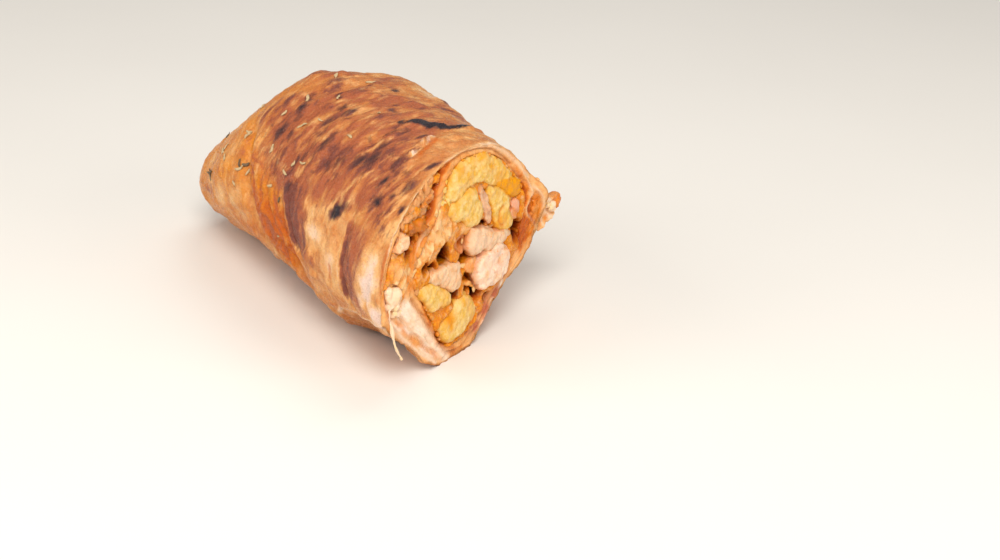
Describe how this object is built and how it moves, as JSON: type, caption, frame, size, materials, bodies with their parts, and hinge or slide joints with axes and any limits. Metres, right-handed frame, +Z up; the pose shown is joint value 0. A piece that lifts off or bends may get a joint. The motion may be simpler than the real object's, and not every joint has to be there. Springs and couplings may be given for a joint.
{
  "type": "chicken doner kebab wrap half",
  "caption": "Half of a rolled flatbread wrap, closed at one end and cut on the slant, filled with chicken, potato, melted cheese and sauce.",
  "frame": {"origin": "middle of the base of the box round the wrap half, on the surface it lies on", "axes": "+X along the roll towards its cut end, +Y across the roll towards its short side, +Z up"},
  "size_m": [0.1388, 0.0852, 0.0638],
  "materials": {
    "griddled_lavash": "thin wheat flatbread, browned and scorched on a griddle, dry and slightly oiled",
    "fried_potato": "soft fried potato with melted yellow cheese, moist and slightly glossy",
    "chicken": "cooked chicken, cream white, fibrous and moist",
    "sauced_chicken": "cooked chicken stained with orange sauce, moist",
    "melted_cheese": "melted pale cheese, smooth and glossy",
    "sauce": "orange sauce and melted cheese with meat crumbs, wet"
  },
  "bodies": {
    "root": {"lavash_wrap": "griddled_lavash", "potato_slice_top": "fried_potato", "potato_chunk_centre": "fried_potato", "potato_chunk_right": "fried_potato", "potato_chunk_left": "fried_potato", "potato_chunk_bottom": "fried_potato", "chicken_piece_upper": "chicken", "chicken_piece_right": "chicken", "chicken_piece_middle": "chicken", "chicken_strip_inner": "chicken", "chicken_strand": "chicken", "chicken_piece_far": "chicken", "chicken_rolled_end": "sauced_chicken", "chicken_flap": "sauced_chicken", "chicken_piece_pocket_top": "sauced_chicken", "chicken_piece_pocket_middle": "sauced_chicken", "chicken_piece_pocket_low": "chicken", "melted_cheese": "melted_cheese", "sauced_filling": "sauce", "pocket_filling": "sauce"}
  },
  "joints": []
}
